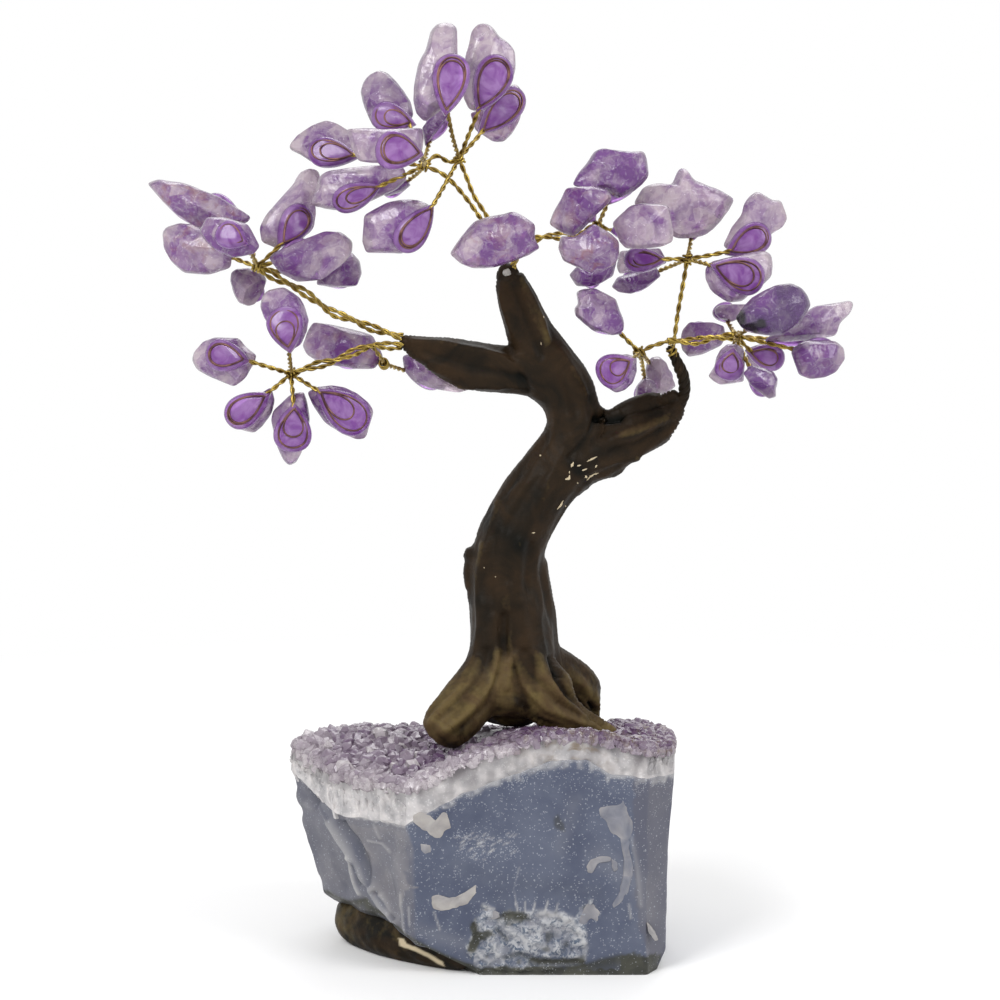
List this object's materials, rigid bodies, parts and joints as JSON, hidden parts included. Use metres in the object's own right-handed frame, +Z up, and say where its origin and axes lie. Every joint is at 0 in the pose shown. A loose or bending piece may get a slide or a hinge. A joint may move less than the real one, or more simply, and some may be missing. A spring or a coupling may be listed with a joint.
{
  "type": "gemstone tree ornament",
  "caption": "Free-standing ornament: rough violet stones on twisted brass wire boughs, with a painted putty trunk on a sawn crystal rock.",
  "frame": {"origin": "middle of the footprint, on the flat that the rock rests on", "axes": "+Z up the trunk, +X to the right as seen from the front, -Y towards the viewer"},
  "size_m": [0.1409, 0.0554, 0.1858],
  "materials": {
    "brass_wire": "satin",
    "violet_resin": "gloss",
    "painted_putty": "satin",
    "grey_blue_agate": "sawn",
    "white_quartz": "granular",
    "amethyst_druse": "crystal",
    "amethyst_chip": "rough crystal"
  },
  "bodies": {
    "root": {"base_agate": "grey_blue_agate", "base_amethyst_crystals": "amethyst_druse", "base_quartz_band": "white_quartz", "centre_limb": "painted_putty", "left_limb": "painted_putty", "levelling_foot": "painted_putty", "right_limb": "painted_putty", "right_spur": "painted_putty", "trunk": "painted_putty", "wire_core": "brass_wire"},
    "left_upper": {"left_upper_resin_drops": "violet_resin", "left_upper_small_stones": "amethyst_chip", "left_upper_stone_broad": "amethyst_chip", "left_upper_stone_long": "amethyst_chip", "left_upper_stone_spotted": "amethyst_chip", "left_upper_stone_upright": "amethyst_chip", "left_upper_wires": "brass_wire"},
    "left_lower": {"left_lower_rear_stones": "amethyst_chip", "left_lower_resin_drops": "violet_resin", "left_lower_stone_left": "amethyst_chip", "left_lower_stone_low": "amethyst_chip", "left_lower_stone_low_left": "amethyst_chip", "left_lower_stone_low_right": "amethyst_chip", "left_lower_stone_top": "amethyst_chip", "left_lower_wires": "brass_wire"},
    "crown": {"crown_rear_stones": "amethyst_chip", "crown_resin_drops": "violet_resin", "crown_stone_far_left": "amethyst_chip", "crown_stone_front": "amethyst_chip", "crown_stone_low": "amethyst_chip", "crown_stone_slanted": "amethyst_chip", "crown_stone_tall_left": "amethyst_chip", "crown_stone_tall_right": "amethyst_chip", "crown_stone_upper_left": "amethyst_chip", "crown_wires": "brass_wire"},
    "middle": {"middle_lower_stones": "amethyst_chip", "middle_resin_drops": "violet_resin", "middle_stone_facing": "amethyst_chip", "middle_stone_left": "amethyst_chip", "middle_stone_square": "amethyst_chip", "middle_stone_top": "amethyst_chip", "middle_wires": "brass_wire"},
    "right_upper": {"right_upper_inner_stones": "amethyst_chip", "right_upper_resin_drops": "violet_resin", "right_upper_stone_high": "amethyst_chip", "right_upper_stone_horned": "amethyst_chip", "right_upper_stone_round": "amethyst_chip", "right_upper_wires": "brass_wire"},
    "right_inner": {"right_inner_rear_stones": "amethyst_chip", "right_inner_resin_drops": "violet_resin", "right_inner_stone_round": "amethyst_chip", "right_inner_stone_upright": "amethyst_chip", "right_inner_wires": "brass_wire"},
    "right_outer": {"right_outer_inner_stones": "amethyst_chip", "right_outer_lower_stones": "amethyst_chip", "right_outer_resin_drops": "violet_resin", "right_outer_stone_dark": "amethyst_chip", "right_outer_stone_pointed": "amethyst_chip", "right_outer_stone_round": "amethyst_chip", "right_outer_wires": "brass_wire"}
  },
  "joints": [
    {"name": "left_upper_bend", "type": "hinge", "parent": "root", "child": "left_upper", "pos_m": [-0.02159, -0.0027, 0.1238], "axis": [0, 1, 0], "range_deg": [-12, 1.5]},
    {"name": "left_lower_bend", "type": "hinge", "parent": "root", "child": "left_lower", "pos_m": [-0.02156, -0.0045, 0.12166], "axis": [0, 1, 0], "range_deg": [-12, 8]},
    {"name": "crown_bend", "type": "hinge", "parent": "root", "child": "crown", "pos_m": [0.00059, 0, 0.13882], "axis": [0, 1, 0], "range_deg": [-1, 12]},
    {"name": "middle_bend", "type": "hinge", "parent": "root", "child": "middle", "pos_m": [0.00356, -0.0012, 0.13896], "axis": [0, 1, 0], "range_deg": [-12, 4]},
    {"name": "right_upper_bend", "type": "hinge", "parent": "root", "child": "right_upper", "pos_m": [0.03487, 0.0024, 0.12309], "axis": [0, 1, 0], "range_deg": [-12, 12]},
    {"name": "right_inner_bend", "type": "hinge", "parent": "root", "child": "right_inner", "pos_m": [0.03161, 0, 0.12142], "axis": [0, 1, 0], "range_deg": [-12, 3]},
    {"name": "right_outer_bend", "type": "hinge", "parent": "root", "child": "right_outer", "pos_m": [0.03566, -0.003, 0.12244], "axis": [0, 1, 0], "range_deg": [-12, 12]}
  ]
}
